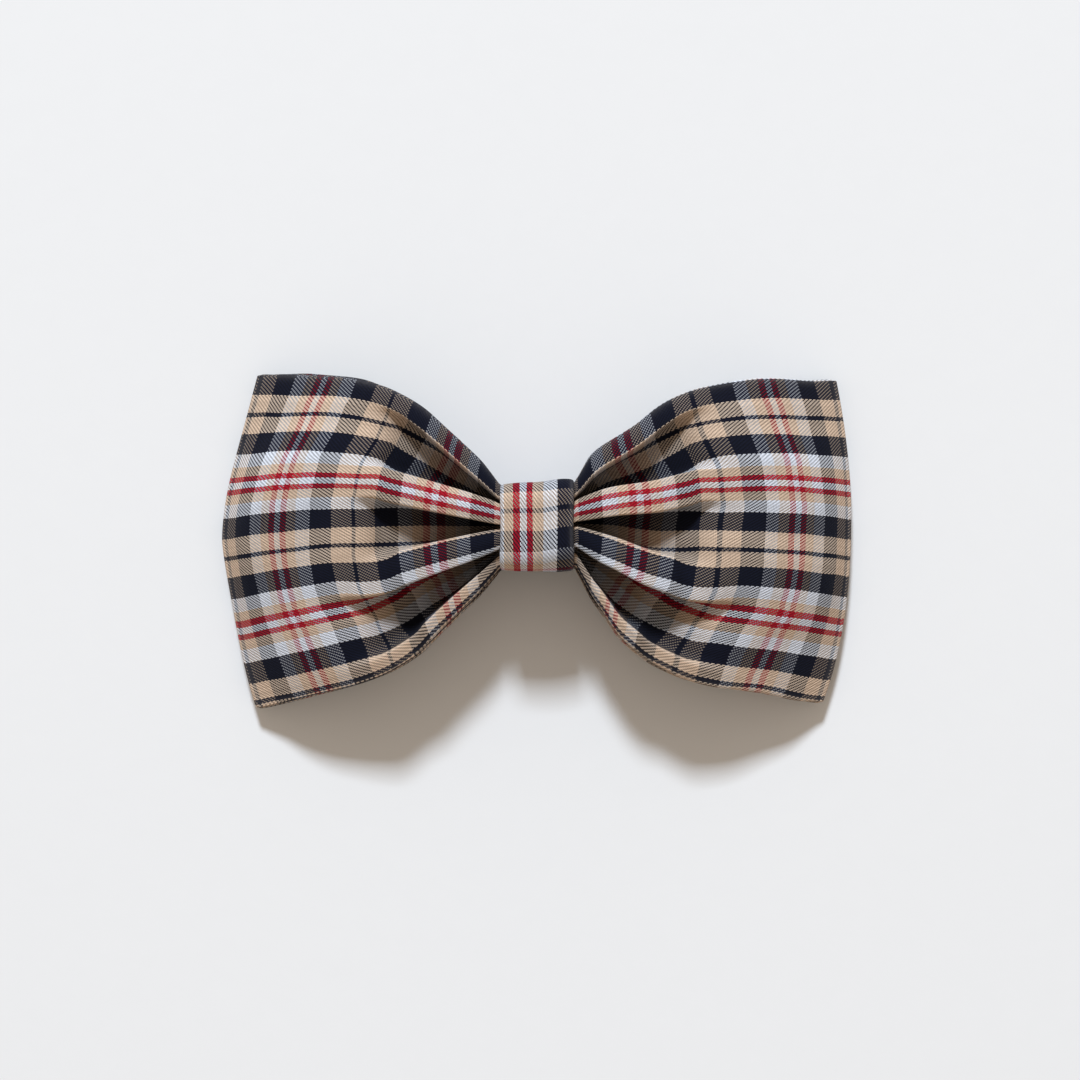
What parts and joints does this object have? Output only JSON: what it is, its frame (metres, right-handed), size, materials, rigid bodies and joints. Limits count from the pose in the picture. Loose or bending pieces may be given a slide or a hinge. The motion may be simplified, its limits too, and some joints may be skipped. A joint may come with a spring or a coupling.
{
  "type": "pet bow tie",
  "caption": "Soft plaid cloth bow tie for a pet collar: two hollow pleated wings pinched by a centre band, with a flat elastic loop behind that slides on a collar.",
  "frame": {"origin": "on the surface that the bow tie lies on, under the middle of the bow", "axes": "+X along the bow from wing tip to wing tip, +Y up the bow's face, +Z out of its front"},
  "size_m": [0.11, 0.0584, 0.0197],
  "materials": {
    "bow_cloth": "matte cotton twill in a tan, navy, white and red plaid",
    "centre_band": "the same plaid twill, turned a quarter",
    "collar_loop": "black woven elastic"
  },
  "bodies": {
    "root": {"left_wing": "bow_cloth", "right_wing": "bow_cloth", "centre_band": "centre_band", "collar_loop": "collar_loop"}
  },
  "joints": []
}
